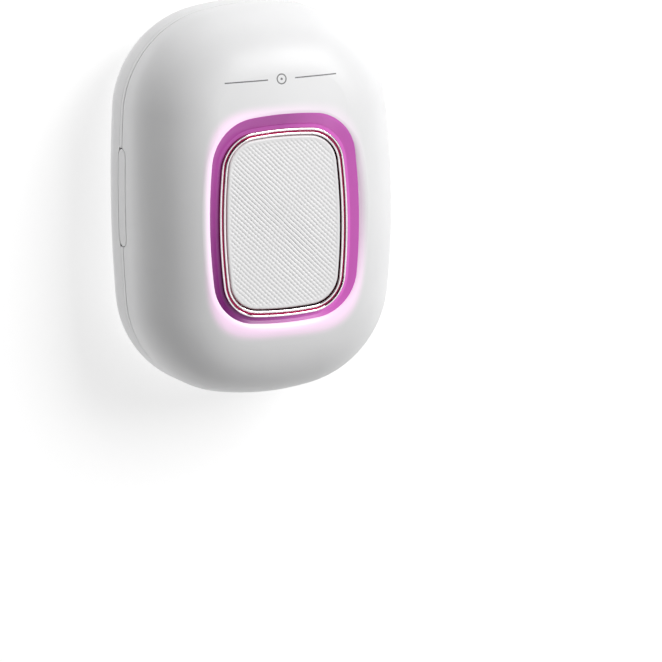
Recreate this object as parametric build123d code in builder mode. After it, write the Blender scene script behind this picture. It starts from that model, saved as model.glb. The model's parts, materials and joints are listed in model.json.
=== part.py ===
"""A wall-hung toothbrush sanitizer: a pebble-shaped case that opens like a book on a side hinge.

Every sketch plane is Plane.XZ moved off the wall: a sketch's own x is the row's X, its own y is the
row's Z, and an extrusion grows towards the front. "Depth" in every name below is the distance from
the wall, in millimetres.
"""

from build123d import *

import math
import os

os.makedirs("parts", exist_ok=True)

# ---- driving dimensions (mm) ------------------------------------------------------------------
WIDTH = 76.0  # case, left to right
HEIGHT = 108.0  # case, bottom to top
SIDE_ARC = 400.0  # radius of the case's nearly straight sides
END_ARC = 75.0  # radius of its top and bottom
CORNER_ARC = 29.0  # radius of its corners
BACK_DEPTH = 2.0  # back of the case, clear of the wall
FRONT_DEPTH = 45.0  # crown of the front
CROWN_RADIUS = 200.0  # sphere that the front is part of
FRONT_ROUND = 20.0  # rounding from the side to the front
BACK_ROUND = 10.0  # rounding from the side to the back
WALL = 2.0  # case wall
LINER_WALL = 1.5
TRAY_WALL = 1.8
SLIP = 0.1  # room round a piece that drops into its seat
PAST = 1.0  # how far a cutting form stands past what it cuts

SEAM_DEPTH = 18.0  # plane where the lid meets the base
SEAM_GAP = 0.3
LID_RIM = SEAM_DEPTH + SEAM_GAP / 2
TRAY_RIM = SEAM_DEPTH - SEAM_GAP / 2
FLANGE = 1.65  # thickness of the tray's rim
SHELL_RIM = TRAY_RIM - FLANGE - SLIP

DOME_INSET = 5.5  # foot of the tray's dome, in from the case's outline
DOME_HEIGHT = 12.8
DOME_DRAFT = 28.0  # slope of the dome's sides, degrees
DOME_ROUND = 8.0
DOME_TOP = TRAY_RIM + DOME_HEIGHT

CHAMBER_HALF = 16.0  # half the brush chamber's width
CHAMBER_TOP = 34.0
CHAMBER_BOTTOM = -40.0
CHAMBER_FLOOR = 9.0
CHAMBER_WALL = 1.6
CHAMBER_CORNER = 3.0
CHAMBER_MIDDLE = (CHAMBER_TOP + CHAMBER_BOTTOM) / 2
CHAMBER_LENGTH = CHAMBER_TOP - CHAMBER_BOTTOM
CHAMBER_BACK = CHAMBER_FLOOR - CHAMBER_WALL
ROOM_GAP = 0.8  # between the tray's works and the shell's wall

BRUSH_HOLE = 7.0  # radius of the hole that the brush handle leaves by
BRUSH_DEPTH = SEAM_DEPTH  # depth of that hole's centre

LINER_RIM = LID_RIM + 0.45
LINER_ROOF = 32.3  # inside face of the lid's lining
LINER_ROUND = 13.5
LINER_INSET = WALL + SLIP

HINGE_X = WIDTH / 2
BARREL = 2.1  # radius of the hinge's knuckles
KNUCKLE_GAP = 0.25
PIN = 0.8
PIN_SLIP = 0.05
PIN_END = 0.4  # the pin stops short of the barrels' ends
LID_KNUCKLE_HALF = 15.0
BARREL_HALF = 22.0
POCKET = BARREL + 0.35  # radius cleared round a passing knuckle

WINDOW_Z = -3.6  # middle of the front window
WINDOW_WIDTH = 38.0
WINDOW_HEIGHT = 52.0
WINDOW_SIDE_ARC = 150.0
WINDOW_END_ARC = 90.0
WINDOW_CORNER = 10.5
BEZEL_WIDTH = 1.8
BEZEL_SLIP = 0.03
BEZEL_LEDGE = 0.7  # the plate's skirt runs under the bezel by this much
BEZEL_GROOVE = (0.62, 1.16)  # the groove between the bezel's two beads, in from its outer edge
GROOVE_DEEP = 0.4
BEAD_ROUND = 0.2
PLATE_GAP = 0.25
PLATE_TRAVEL = 0.4
PLATE_ROUND = 0.5
RECESS_FLOOR = 41.0
RECESS_FOOT = 1.0  # the recess's foot, out from the bezel
RECESS_SLOPE = 32.0
RECESS_LIP = 2.2
RECESS_REACH = 7.0  # how far the recess's cutting form rises

LENS_WIDTH = 26.8
LENS_HEIGHT = 44.8
LENS_Z = -4.0
LENS_CORNER = 6.0
LENS_LEDGE = 1.0  # width of the rebate that holds the lens
LENS_STEP = 0.5  # depth of that rebate
LENS_MARGIN = 4.0  # plain border round the lens's ribs

FAN_SIDE = 20.0
FAN_THICK = 6.0
FAN_DEPTH = 14.6  # depth of its axis
FAN_Z = CHAMBER_TOP + CHAMBER_WALL  # face that blows into the chamber
FAN_CORNER = 2.0
FAN_BORE = 9.0
SPIDER = 1.0  # thickness of the arms that carry the motor
SPIDER_WIDTH = 1.4
SPIDER_HUB = 4.2
SPIDER_TURNS = (45, 165, 285)
ROTOR_HUB = 3.6
ROTOR_SHAFT = 0.75
ROTOR_SLIP = 0.05
ROTOR_GAP = 0.4
BLADES = 7
BLADE = (5.4, 0.7, 4.6)
BLADE_PITCH = 38.0
BLADE_MIDDLE = 5.7  # radius of the blades' centres

SCREW_X = 24.0
SCREW_Z = 28.0
BOSS_FOOT = 9.0  # depth where the tray's bosses stand on the rear shell's

MAGNET_X = -20.4
MAGNET_Z = 20.0
MAGNET = 2.5
MAGNET_BASE = 26.0
MAGNET_LID = 33.85
MAGNET_THICK = 2.0

MOUNT_WIDTH = 42.0  # wall plate
MOUNT_HEIGHT = 64.0
MOUNT_CORNER = 8.0
PAD_THICK = 1.0
PAD_INSET = 1.0

BOSS = 3.0
SCREW_SHANK = 1.1
SCREW_HEAD = 2.1
SCREW_GAP = 0.2
HEAD_DEPTH = 4.6
HEAD_THICK = 1.6
SCREW_END = 15.0
CROSS_LONG = 2.4
CROSS_WIDE = 0.6
CROSS_DEEP = 0.6
CROSS_ROUND = 0.2

BUTTON_Z = 2.7  # middle of the button
BUTTON_LENGTH = 27.0
BUTTON_THICK = 4.8
BUTTON_GAP = 0.3
BUTTON_BACK = -34.6  # inner face of the button's cap and guide plate
BUTTON_NOTCH = BUTTON_LENGTH / 2 + BUTTON_GAP
GUIDE_THICK = 0.8
GUIDE_HALF = 12.0
GUIDE_SPAN = (11.4, 17.0)
LATCH_HALF = 5.0
ARM_X = -33.8
ARM_SPAN = (12.0, 21.6)
HOOK_X = -34.9
HOOK_SPAN = (20.9, 21.9)
CATCH_X = -35.3
CATCH_SPAN = (20.9, 22.2)
NOTCH_X = -32.6
NOTCH_TOP = 22.6
SPRING_Z = 9.0
SPRING_DEPTH = 13.6
SPRING_SEAT_X = -31.9
SPRING_PITCH = 0.62
SPRING_RADIUS = 1.1
SPRING_WIRE = 0.17
SEAT_THICK = 0.8
SEAT_HALF = 2.0
SEAT_TOP = 15.6

PORT_X = 15.2
PORT_DEPTH = 9.0
PORT_WIDTH = 9.0
PORT_THICK = 3.2
PORT_MOUTH = -50.6
PORT_GAP = 0.3
PORT_LONG = 6.6
PORT_BACK = 0.8
PORT_SHEET = 0.3
TONGUE = (6.6, 0.7)
PORT_CUT = 12.0  # how far the port's slot runs in from the case's bottom

BATTERY = 6.5
BATTERY_X = -24.2
BATTERY_DEPTH = 11.2
BATTERY_SPAN = (-20.0, 22.0)
NIPPLE = 2.0
NIPPLE_LONG = 1.0

MAIN_X = (18.5, 31.0)
MAIN_SPAN = (6.0, 7.2)
MAIN_HALF = 24.0
CHIP_THICK = 1.0
CHIPS = ((22.5, 4.0, 5.0), (27.0, -12.0, 3.0), (24.0, 15.0, 4.0))  # x, z and side of each

LOCK_X = 20.6
LOCK_Z = 20.0
LOCK_WINDOW = (19.3, 23.0)
LOCK_HALF = 2.0
SWITCH_X = (18.0, 23.0)
SWITCH_LONG = 6.0
SWITCH_TOP = 28.2
PLUNGER = 0.8
PLUNGER_SLIP = 0.08
PLUNGER_TOP = 29.1
PLUNGER_IN = 2.0
PLUNGER_BORE = 3.0
PLUNGER_ROUND = 0.3
PRONG = (19.8, 21.3)
PRONG_HALF = 1.1
PRONG_TIP = 29.4

CONTACT_X = 20.5
CONTACT_SPOTS = (-12.0, -7.0, -2.0)
COLLAR = 1.5
CONTACT = 0.8
CONTACT_FOOT = 26.4
CONTACT_TOP = 31.6
CONTACT_ROUND = 0.35
COLLAR_FOOT = 27.0
COLLAR_HOLE = 26.0
PAD_FACE = 31.95

VENTS = 9
VENT_PITCH = 2.0
VENT_WIDTH = 0.9
VENT_HALF = 5.0
VENT_END = 0.8  # a vent's ends and middle, as shares of its place in the row
VENT_MIDDLE = 1.12

GRIP_FOOT = 1.6
GRIP_STEP = 3.0
GRIP_IN = 4.6
GRIP_TOP = 25.5
GRIP_LONG = 8.0
GRIP_ROUND = 3.4
GRIP_EDGE = 3.0
FLOOR_PANEL_Z = -8.0
FLOOR_PANEL = (28.0, 24.0, 3.0)
FLOOR_PANEL_THICK = 0.8
GASKET_INSET = 2.6
GASKET_WIDTH = 1.0
GASKET_DEEP = 0.5
GASKET_PROUD = 0.2

RIB_PITCH = 1.6
RIB_DEEP = 0.1
REFLECTOR_BACK = 38.1
REFLECTOR_TALL = 4.2
REFLECTOR_HALF = 10.5
REFLECTOR_WALL = 0.6
REFLECTOR_CREASE = 4.0  # half the width of its flat middle
LAMP_SPAN = (-21.5, 14.0)
LAMP = 1.6
LAMP_DEPTH = 35.6
CAP_LONG = 3.0
CAP_PROUD = 0.15

BOARD_DEPTH = 36.0
BOARD_THICK = 0.8
BOARD_OUT = 3.0  # the board's edges, out and in from the window's
BOARD_IN = 6.0
LED_HALF = 1.0
LED_THICK = 0.7
LED_SIDES = (19.9, (-16.5, -5.5, 5.5, 16.5))  # x either side, and the rows along Z
LED_ENDS = (27.2, (-8.0, 8.0))  # Z above and below, and the places along X
RING_BACK = 38.3
RING_SIDE = 3.1  # how far the light ring reaches out from the window's edge
RING_ABOVE = 4.3
RING_BELOW = 1.8
RING_SLIP = 0.04
BEZEL_TOP = 41.9
STEP_DEPTH = 40.6
PLATE_BACK = 39.9
PLATE_TOP = 41.7
PLATE_SPRING = 1.0
PLATE_SPRING_X = 15.2
PLATE_SPRING_Z = 12.0
TACT_Z = 18.6
TACT_HALF = 1.7
TACT_THICK = 1.2
TACT_BUTTON = 0.9


# ---- shared shapes ----------------------------------------------------------------------------
def at(depth):
    """The sketch plane at a depth, facing the front."""
    return Plane.XZ.offset(depth)


def spot(x, depth, z):
    """A point of the row from its x, depth and z."""
    return (x, -depth, z)


def outline(width, height, side_arc, end_arc, corner_arc, inset=0.0):
    """A soft rectangle of eight tangent arcs, inset all round."""
    side_x = width / 2 - side_arc
    end_y = height / 2 - end_arc
    # the corner's centre lies side_arc - corner_arc from the side arc's centre,
    # and end_arc - corner_arc from the end arc's
    reach_side = side_arc - corner_arc
    reach_end = end_arc - corner_arc
    between = math.hypot(side_x, end_y)
    along = (reach_side**2 - reach_end**2 + between**2) / (2 * between)
    across = math.sqrt(reach_side**2 - along**2)
    unit_x = -side_x / between
    unit_y = end_y / between
    corner_x = side_x + along * unit_x - across * unit_y
    corner_y = along * unit_y + across * unit_x
    if corner_x < 0 or corner_y < 0:
        corner_x = side_x + along * unit_x + across * unit_y
        corner_y = along * unit_y - across * unit_x
    side_angle = math.degrees(math.atan2(corner_y, corner_x - side_x))
    end_angle = math.degrees(math.atan2(corner_x, corner_y - end_y))
    corner_angle = 90 - side_angle - end_angle
    with BuildSketch(Plane.XY) as shape:
        with BuildLine():
            for turn in (0, 180):
                sign = 1 if turn == 0 else -1
                corner = (sign * corner_x, sign * corner_y)
                other = (-sign * corner_x, sign * corner_y)
                CenterArc((sign * side_x, 0), side_arc - inset, turn - side_angle, 2 * side_angle)
                CenterArc(corner, corner_arc - inset, turn + side_angle, corner_angle)
                CenterArc((0, sign * end_y), end_arc - inset, turn + 90 - end_angle, 2 * end_angle)
                CenterArc(other, corner_arc - inset, turn + 90 + end_angle, corner_angle)
        make_face()
    return shape.sketch_local


def case_outline(inset=0.0):
    return outline(WIDTH, HEIGHT, SIDE_ARC, END_ARC, CORNER_ARC, inset)


def window_outline(inset=0.0):
    arcs = (WINDOW_SIDE_ARC, WINDOW_END_ARC, WINDOW_CORNER)
    shape = outline(WINDOW_WIDTH, WINDOW_HEIGHT, *arcs, inset)
    return shape.moved(Location((0, WINDOW_Z, 0)))


def ring_outline(inset=0.0):
    """The light ring's outer edge, narrower below the window than above it."""
    width = WINDOW_WIDTH + 2 * RING_SIDE
    height = WINDOW_HEIGHT + RING_ABOVE + RING_BELOW
    corner = WINDOW_CORNER + (RING_SIDE + RING_BELOW) / 2
    side_arc = WINDOW_SIDE_ARC + RING_SIDE
    shape = outline(width, height, side_arc, WINDOW_END_ARC + RING_BELOW, corner, inset)
    return shape.moved(Location((0, WINDOW_Z + (RING_ABOVE - RING_BELOW) / 2, 0)))


def prism(sketch, start, end):
    """A sketch pulled straight out from one depth to another."""
    with BuildPart() as piece:
        with BuildSketch(at(start)):
            add(sketch)
        extrude(amount=end - start)
    return piece.part


def flare(near, start, far, end):
    """The solid between two sketches at two depths."""
    with BuildPart() as piece:
        with BuildSketch(at(start)):
            add(near)
        with BuildSketch(at(end)):
            add(far)
        loft(ruled=True)
    return piece.part


def disc(radius, x=0.0, z=0.0):
    with BuildSketch(Plane.XY) as shape:
        with Locations((x, z)):
            Circle(radius)
    return shape.sketch_local


def panel(width, height, corner, x=0.0, z=0.0):
    with BuildSketch(Plane.XY) as shape:
        with Locations((x, z)):
            RectangleRounded(width, height, corner)
    return shape.sketch_local


def block(x_span, depth_span, z_span):
    """A plain block from its spans in x, depth and z."""
    with BuildPart() as piece:
        with Locations(spot(sum(x_span) / 2, sum(depth_span) / 2, sum(z_span) / 2)):
            Box(x_span[1] - x_span[0], depth_span[1] - depth_span[0], z_span[1] - z_span[0])
    return piece.part


def upright(radius, x, depth, z_span):
    """A rod standing along Z."""
    with BuildPart() as piece:
        with Locations(spot(x, depth, sum(z_span) / 2)):
            Cylinder(radius, z_span[1] - z_span[0])
    return piece.part


def side_slot(length, thick, x_span):
    """A stadium lying along Z at the seam, at the button's height, pushed through in x."""
    with BuildPart() as piece:
        with BuildSketch(Plane.YZ.offset(x_span[0])):
            with Locations((-SEAM_DEPTH, BUTTON_Z)):
                SlotOverall(length, thick, rotation=90)
        extrude(amount=x_span[1] - x_span[0])
    return piece.part


def pebble(inset):
    """The whole case's outer form, closed, inset by a wall."""
    with BuildPart() as form:
        with BuildSketch(at(BACK_DEPTH + inset)):
            add(case_outline(inset))
        extrude(amount=FRONT_DEPTH)
        with Locations(spot(0, FRONT_DEPTH - CROWN_RADIUS, 0)):
            Sphere(CROWN_RADIUS - inset, mode=Mode.INTERSECT)
        fillet(form.faces().filter_by(GeomType.SPHERE).edges(), FRONT_ROUND - inset)
        fillet(form.faces().sort_by(Axis.Y)[-1].edges(), BACK_ROUND - inset)
    return form.part


def behind(part, depth):
    """What of a part lies nearer the wall than a depth."""
    with BuildPart() as piece:
        add(part)
        split(bisect_by=at(depth), keep=Keep.BOTTOM)
    return piece.part


def before(part, depth):
    """What of a part lies further from the wall than a depth."""
    with BuildPart() as piece:
        add(part)
        split(bisect_by=at(depth), keep=Keep.TOP)
    return piece.part


def knuckles(radius, spans):
    """Rods round the hinge line."""
    with BuildPart() as rods:
        for span in spans:
            add(upright(radius, HINGE_X, SEAM_DEPTH, span))
    return rods.part


def vent(lean):
    """One vent's outline, bowed away from the middle of the row."""
    with BuildSketch(Plane.XY) as straight:
        SlotCenterToCenter(2 * VENT_HALF, VENT_WIDTH, rotation=90)
    if lean == 0:
        return straight.sketch_local
    end_x = lean * VENT_END
    with BuildLine() as bow:
        ThreePointArc((end_x, VENT_HALF), (lean * VENT_MIDDLE, 0), (end_x, -VENT_HALF))
    with BuildSketch(Plane.XY) as bowed:
        SlotArc(bow.edges()[0], VENT_WIDTH)
    return bowed.sketch_local


def finish(part, name):
    """Labels one finished piece and writes its file."""
    part.label = name
    export_step(part, f"parts/{name}.step")


# ---- forms used by several pieces -------------------------------------------------------------
whole = pebble(0.0)
hollow = pebble(WALL)

# dome: straight-sided foot, drafted flanks, rounded top
dome_run = DOME_HEIGHT * math.tan(math.radians(DOME_DRAFT))
dome_crown = case_outline(DOME_INSET + dome_run)
with BuildPart() as dome:
    add(flare(case_outline(DOME_INSET), TRAY_RIM, dome_crown, DOME_TOP))
    fillet(dome.faces().sort_by(Axis.Y)[0].edges(), DOME_ROUND)

inner_run = (DOME_HEIGHT - TRAY_WALL) * math.tan(math.radians(DOME_DRAFT))
inner_foot = DOME_INSET + TRAY_WALL / math.cos(math.radians(DOME_DRAFT))
inner_crown = case_outline(inner_foot + inner_run)
with BuildPart() as dome_hollow:
    add(flare(case_outline(inner_foot), TRAY_RIM, inner_crown, DOME_TOP - TRAY_WALL))
    fillet(dome_hollow.faces().sort_by(Axis.Y)[0].edges(), DOME_ROUND - TRAY_WALL)
    add(prism(case_outline(inner_foot), SHELL_RIM, TRAY_RIM))

# way out for the brush handle: round at the case's rim, open towards the front inside the tray
WAY_RIM = 3.0  # the open part starts this far in from the case's bottom
way_span = (-HEIGHT / 2 + WAY_RIM, CHAMBER_BOTTOM + PAST)
brush_way = upright(BRUSH_HOLE, 0, BRUSH_DEPTH, (-HEIGHT, CHAMBER_BOTTOM + PAST))
tray_way = block((-BRUSH_HOLE, BRUSH_HOLE), (BRUSH_DEPTH, FRONT_DEPTH), way_span)

# the button's slot through the side of the case, with its gap
slot_long = BUTTON_LENGTH + 2 * BUTTON_GAP
slot_thick = BUTTON_THICK + 2 * BUTTON_GAP
SLOT_REACH = 4.0  # how far the slot runs in from the case's side
button_slot = side_slot(slot_long, slot_thick, (-WIDTH, -HINGE_X + SLOT_REACH))

# spans along the hinge: where the knuckles are, and where room is cleared for the other half's
lid_end = LID_KNUCKLE_HALF + KNUCKLE_GAP
base_end = BARREL_HALF + KNUCKLE_GAP
LID_SPAN = [(-LID_KNUCKLE_HALF, LID_KNUCKLE_HALF)]
BASE_SPANS = [(-BARREL_HALF, -lid_end), (lid_end, BARREL_HALF)]
LID_POCKET = [(-lid_end, lid_end)]
BASE_POCKETS = [(-base_end, -LID_KNUCKLE_HALF), (LID_KNUCKLE_HALF, base_end)]
WHOLE_SPAN = [(-HEIGHT / 2, HEIGHT / 2)]
SCREW_SPOTS = [(sx * SCREW_X, sz * SCREW_Z) for sx in (-1, 1) for sz in (-1, 1)]

# ---- on the wall ------------------------------------------------------------------------------
pad_corner = MOUNT_CORNER - PAD_INSET
pad_shape = panel(MOUNT_WIDTH - 2 * PAD_INSET, MOUNT_HEIGHT - 2 * PAD_INSET, pad_corner)
finish(prism(pad_shape, 0.0, PAD_THICK), "adhesive_pad")
finish(prism(panel(MOUNT_WIDTH, MOUNT_HEIGHT, MOUNT_CORNER), PAD_THICK, BACK_DEPTH), "wall_plate")

# ---- rear shell -------------------------------------------------------------------------------
with BuildPart() as rear_shell:
    add(behind(whole, SHELL_RIM))
    add(hollow, mode=Mode.SUBTRACT)
    for x, z in SCREW_SPOTS:
        add(prism(disc(BOSS, x, z), BACK_DEPTH + WALL / 4, BOSS_FOOT))
    # seats for the button's springs
    for z in (BUTTON_Z - SPRING_Z, BUTTON_Z + SPRING_Z):
        seat_x = (SPRING_SEAT_X, SPRING_SEAT_X + SEAT_THICK)
        add(block(seat_x, (BACK_DEPTH + WALL / 2, SEAT_TOP), (z - SEAT_HALF, z + SEAT_HALF)))
    for x, z in SCREW_SPOTS:
        add(prism(disc(SCREW_SHANK + SCREW_GAP, x, z), 0.0, BOSS_FOOT + PAST), mode=Mode.SUBTRACT)
        add(prism(disc(SCREW_HEAD + SCREW_GAP, x, z), 0.0, HEAD_DEPTH), mode=Mode.SUBTRACT)
    add(brush_way, mode=Mode.SUBTRACT)
    add(button_slot, mode=Mode.SUBTRACT)
    add(knuckles(BARREL + SLIP, BASE_SPANS + LID_POCKET), mode=Mode.SUBTRACT)
    add(knuckles(POCKET, LID_POCKET), mode=Mode.SUBTRACT)
    with BuildSketch(Plane.XY.offset(-HEIGHT / 2)):
        with Locations((PORT_X, -PORT_DEPTH)):
            SlotOverall(PORT_WIDTH + PORT_GAP, PORT_THICK + PORT_GAP)
    extrude(amount=PORT_CUT, mode=Mode.SUBTRACT)
finish(rear_shell.part, "rear_shell")

with BuildPart() as housing_screws:
    for x, z in SCREW_SPOTS:
        add(prism(disc(SCREW_HEAD, x, z), HEAD_DEPTH - HEAD_THICK, HEAD_DEPTH))
        add(prism(disc(SCREW_SHANK, x, z), HEAD_DEPTH, SCREW_END))
    cross_end = HEAD_DEPTH - HEAD_THICK + CROSS_DEEP
    for x, z in SCREW_SPOTS:
        for long, wide in ((CROSS_LONG, CROSS_WIDE), (CROSS_WIDE, CROSS_LONG)):
            add(prism(panel(long, wide, CROSS_ROUND, x, z), 0.0, cross_end), mode=Mode.SUBTRACT)
finish(housing_screws.part, "housing_screws")

# ---- tray: rim, dome, brush chamber -----------------------------------------------------------
# the room that the tray's works may fill under its skin
with BuildPart() as room:
    add(dome.part)
    add(prism(case_outline(DOME_INSET), CHAMBER_BACK, TRAY_RIM))
    add(prism(case_outline(WALL + ROOM_GAP), CHAMBER_BACK, TRAY_RIM - FLANGE))

well_width = 2 * (CHAMBER_HALF + CHAMBER_WALL)
well_length = CHAMBER_LENGTH + 2 * CHAMBER_WALL
well_shape = panel(well_width, well_length, CHAMBER_CORNER + CHAMBER_WALL, 0, CHAMBER_MIDDLE)
way_half = BRUSH_HOLE + CHAMBER_WALL
with BuildPart() as well:
    add(prism(well_shape, CHAMBER_BACK, FRONT_DEPTH))
    add(upright(way_half, 0, BRUSH_DEPTH, (-HEIGHT, CHAMBER_BOTTOM)))
    add(block((-way_half, way_half), (BRUSH_DEPTH, FRONT_DEPTH), (-HEIGHT / 2, CHAMBER_BOTTOM)))
    add(room.part, mode=Mode.INTERSECT)

with BuildPart() as bosses:
    for x, z in SCREW_SPOTS:
        add(prism(disc(BOSS, x, z), BOSS_FOOT, FRONT_DEPTH))
    add(room.part, mode=Mode.INTERSECT)

with BuildPart() as groove:
    add(prism(case_outline(GASKET_INSET), TRAY_RIM - GASKET_DEEP, TRAY_RIM + PAST))
    inner = case_outline(GASKET_INSET + GASKET_WIDTH)
    add(prism(inner, TRAY_RIM - GASKET_DEEP, TRAY_RIM + PAST), mode=Mode.SUBTRACT)

chamber = panel(2 * CHAMBER_HALF, CHAMBER_LENGTH, CHAMBER_CORNER, 0, CHAMBER_MIDDLE)
notch_z = (BUTTON_Z - BUTTON_NOTCH, BUTTON_Z + BUTTON_NOTCH)

with BuildPart() as tray_liner:
    add(prism(case_outline(0.0), TRAY_RIM - FLANGE, TRAY_RIM))
    add(dome.part)
    add(dome_hollow.part, mode=Mode.SUBTRACT)
    add(well.part)
    add(bosses.part)
    for x, z in SCREW_SPOTS:
        add(prism(disc(SCREW_SHANK, x, z), BOSS_FOOT - PAST, SCREW_END + PAST), mode=Mode.SUBTRACT)
    add(prism(chamber, CHAMBER_FLOOR, FRONT_DEPTH), mode=Mode.SUBTRACT)
    add(brush_way, mode=Mode.SUBTRACT)
    add(tray_way, mode=Mode.SUBTRACT)
    # vents in the chamber's upper wall
    for i in range(VENTS):
        with BuildSketch(Plane.XY.offset(CHAMBER_TOP - PAST)):
            with Locations((0, -FAN_DEPTH)):
                add(vent(VENT_PITCH * (i - (VENTS - 1) / 2)))
        extrude(amount=CHAMBER_WALL + 2 * PAST, mode=Mode.SUBTRACT)
    # hinge knuckles
    add(knuckles(BARREL, BASE_SPANS))
    add(knuckles(POCKET, LID_POCKET), mode=Mode.SUBTRACT)
    add(knuckles(PIN + PIN_SLIP / 5, WHOLE_SPAN), mode=Mode.SUBTRACT)
    # notch for the button
    add(block((-WIDTH, NOTCH_X), (SHELL_RIM - PAST, TRAY_RIM + PAST), notch_z), mode=Mode.SUBTRACT)
    # interlock window and contact holes
    lock_z = (LOCK_Z - LOCK_HALF, LOCK_Z + LOCK_HALF)
    add(block(LOCK_WINDOW, (TRAY_RIM + PAST, FRONT_DEPTH), lock_z), mode=Mode.SUBTRACT)
    for z in CONTACT_SPOTS:
        add(prism(disc(COLLAR, CONTACT_X, z), COLLAR_HOLE, FRONT_DEPTH), mode=Mode.SUBTRACT)
    add(groove.part, mode=Mode.SUBTRACT)
finish(tray_liner.part, "tray_liner")

GASKET_BREAK = (14.6, 14.0)  # the gap that the brush handle passes through
GASKET_NOTCH = 0.5  # room at the button's notch
with BuildPart() as rim_gasket:
    add(prism(case_outline(GASKET_INSET), TRAY_RIM - GASKET_DEEP, TRAY_RIM + GASKET_PROUD))
    add(prism(case_outline(GASKET_INSET + GASKET_WIDTH), 0, FRONT_DEPTH), mode=Mode.SUBTRACT)
    add(prism(panel(*GASKET_BREAK, PAST, 0, -HEIGHT / 2), 0, FRONT_DEPTH), mode=Mode.SUBTRACT)
    half = BUTTON_LENGTH / 2 + GASKET_NOTCH
    gasket_z = (BUTTON_Z - half, BUTTON_Z + half)
    add(block((-WIDTH, NOTCH_X), (0, FRONT_DEPTH), gasket_z), mode=Mode.SUBTRACT)
    hinge_end = BARREL_HALF + PAST
    add(knuckles(POCKET + 2 * SLIP, [(-hinge_end, hinge_end)]), mode=Mode.SUBTRACT)
finish(rim_gasket.part, "rim_gasket")

# two soft rests that the brush's neck lies between
for side, name in ((-1, "brush_grip_left"), (1, "brush_grip_right")):
    outer_x = side * (CHAMBER_HALF - SLIP)
    with BuildPart() as grip:
        with BuildSketch(Plane.XY.offset(CHAMBER_BOTTOM + SLIP)):
            with BuildLine():
                Polyline(
                    (outer_x, -CHAMBER_FLOOR),
                    (side * GRIP_FOOT, -CHAMBER_FLOOR),
                    (side * GRIP_FOOT, -CHAMBER_FLOOR - GRIP_STEP),
                    (side * GRIP_IN, -GRIP_TOP),
                    (outer_x, -GRIP_TOP),
                    close=True,
                )
            make_face()
        extrude(amount=GRIP_LONG)
        crown = grip.faces().sort_by(Axis.Y)[0]
        fillet(crown.edges().filter_by(Axis.X), GRIP_ROUND)
        fillet(grip.faces().sort_by(Axis.Y)[0].edges().filter_by(Axis.Z), GRIP_EDGE)
    finish(grip.part, name)

floor_shape = panel(*FLOOR_PANEL, 0, FLOOR_PANEL_Z)
finish(prism(floor_shape, CHAMBER_FLOOR, CHAMBER_FLOOR + FLOOR_PANEL_THICK), "floor_panel")

# ---- drying fan -------------------------------------------------------------------------------
fan_end = FAN_Z + FAN_THICK
with BuildPart() as fan_frame:
    with BuildSketch(Plane.XY.offset(FAN_Z)):
        with Locations((0, -FAN_DEPTH)):
            RectangleRounded(FAN_SIDE, FAN_SIDE, FAN_CORNER)
            Circle(FAN_BORE, mode=Mode.SUBTRACT)
    extrude(amount=FAN_THICK)
    with BuildSketch(Plane.XY.offset(fan_end - SPIDER)):
        with Locations((0, -FAN_DEPTH)):
            Circle(SPIDER_HUB)
            for turn in SPIDER_TURNS:
                with PolarLocations(0, 1, start_angle=turn):
                    Rectangle(FAN_BORE + PAST / 2, SPIDER_WIDTH, align=(Align.MIN, Align.CENTER))
    extrude(amount=SPIDER)
    shaft_hole = upright(ROTOR_SHAFT + ROTOR_SLIP, 0, FAN_DEPTH, (FAN_Z, fan_end + PAST))
    add(shaft_hole, mode=Mode.SUBTRACT)
finish(fan_frame.part, "fan_frame")

rotor_span = (FAN_Z + ROTOR_GAP, fan_end - SPIDER - ROTOR_GAP)
rotor_shaft = upright(ROTOR_SHAFT, 0, FAN_DEPTH, (FAN_Z + ROTOR_GAP, fan_end))
with BuildPart() as swept:
    add(upright(FAN_BORE - ROTOR_GAP - SLIP, 0, FAN_DEPTH, rotor_span))
    add(rotor_shaft)
with BuildPart() as fan_rotor:
    add(upright(ROTOR_HUB, 0, FAN_DEPTH, rotor_span))
    add(rotor_shaft)
    with Locations(spot(0, FAN_DEPTH, sum(rotor_span) / 2 + SLIP)):
        with PolarLocations(BLADE_MIDDLE, BLADES):
            Box(*BLADE, rotation=(BLADE_PITCH, 0, 0))
    add(swept.part, mode=Mode.INTERSECT)
finish(fan_rotor.part, "fan_rotor")

# ---- power and electronics in the base --------------------------------------------------------
with BuildPart() as battery_cell:
    add(upright(BATTERY, BATTERY_X, BATTERY_DEPTH, BATTERY_SPAN))
    nipple_span = (BATTERY_SPAN[1], BATTERY_SPAN[1] + NIPPLE_LONG)
    add(upright(NIPPLE, BATTERY_X, BATTERY_DEPTH, nipple_span))
finish(battery_cell.part, "battery_cell")

chip_span = (MAIN_SPAN[1], MAIN_SPAN[1] + CHIP_THICK)
with BuildPart() as main_board:
    add(block(MAIN_X, MAIN_SPAN, (-MAIN_HALF, MAIN_HALF)))
    for x, z, side in CHIPS:
        add(block((x, x + side), chip_span, (z, z + side)))
finish(main_board.part, "main_board")

with BuildPart() as usb_port:
    with BuildSketch(Plane.XY.offset(PORT_MOUTH)):
        with Locations((PORT_X, -PORT_DEPTH)):
            SlotOverall(PORT_WIDTH, PORT_THICK)
            bore = 2 * PORT_SHEET
            SlotOverall(PORT_WIDTH - bore, PORT_THICK - bore, mode=Mode.SUBTRACT)
            Rectangle(*TONGUE)
    extrude(amount=PORT_LONG)
    with BuildSketch(Plane.XY.offset(PORT_MOUTH + PORT_LONG)):
        with Locations((PORT_X, -PORT_DEPTH)):
            SlotOverall(PORT_WIDTH, PORT_THICK)
    extrude(amount=PORT_BACK)
finish(usb_port.part, "usb_port")

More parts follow.
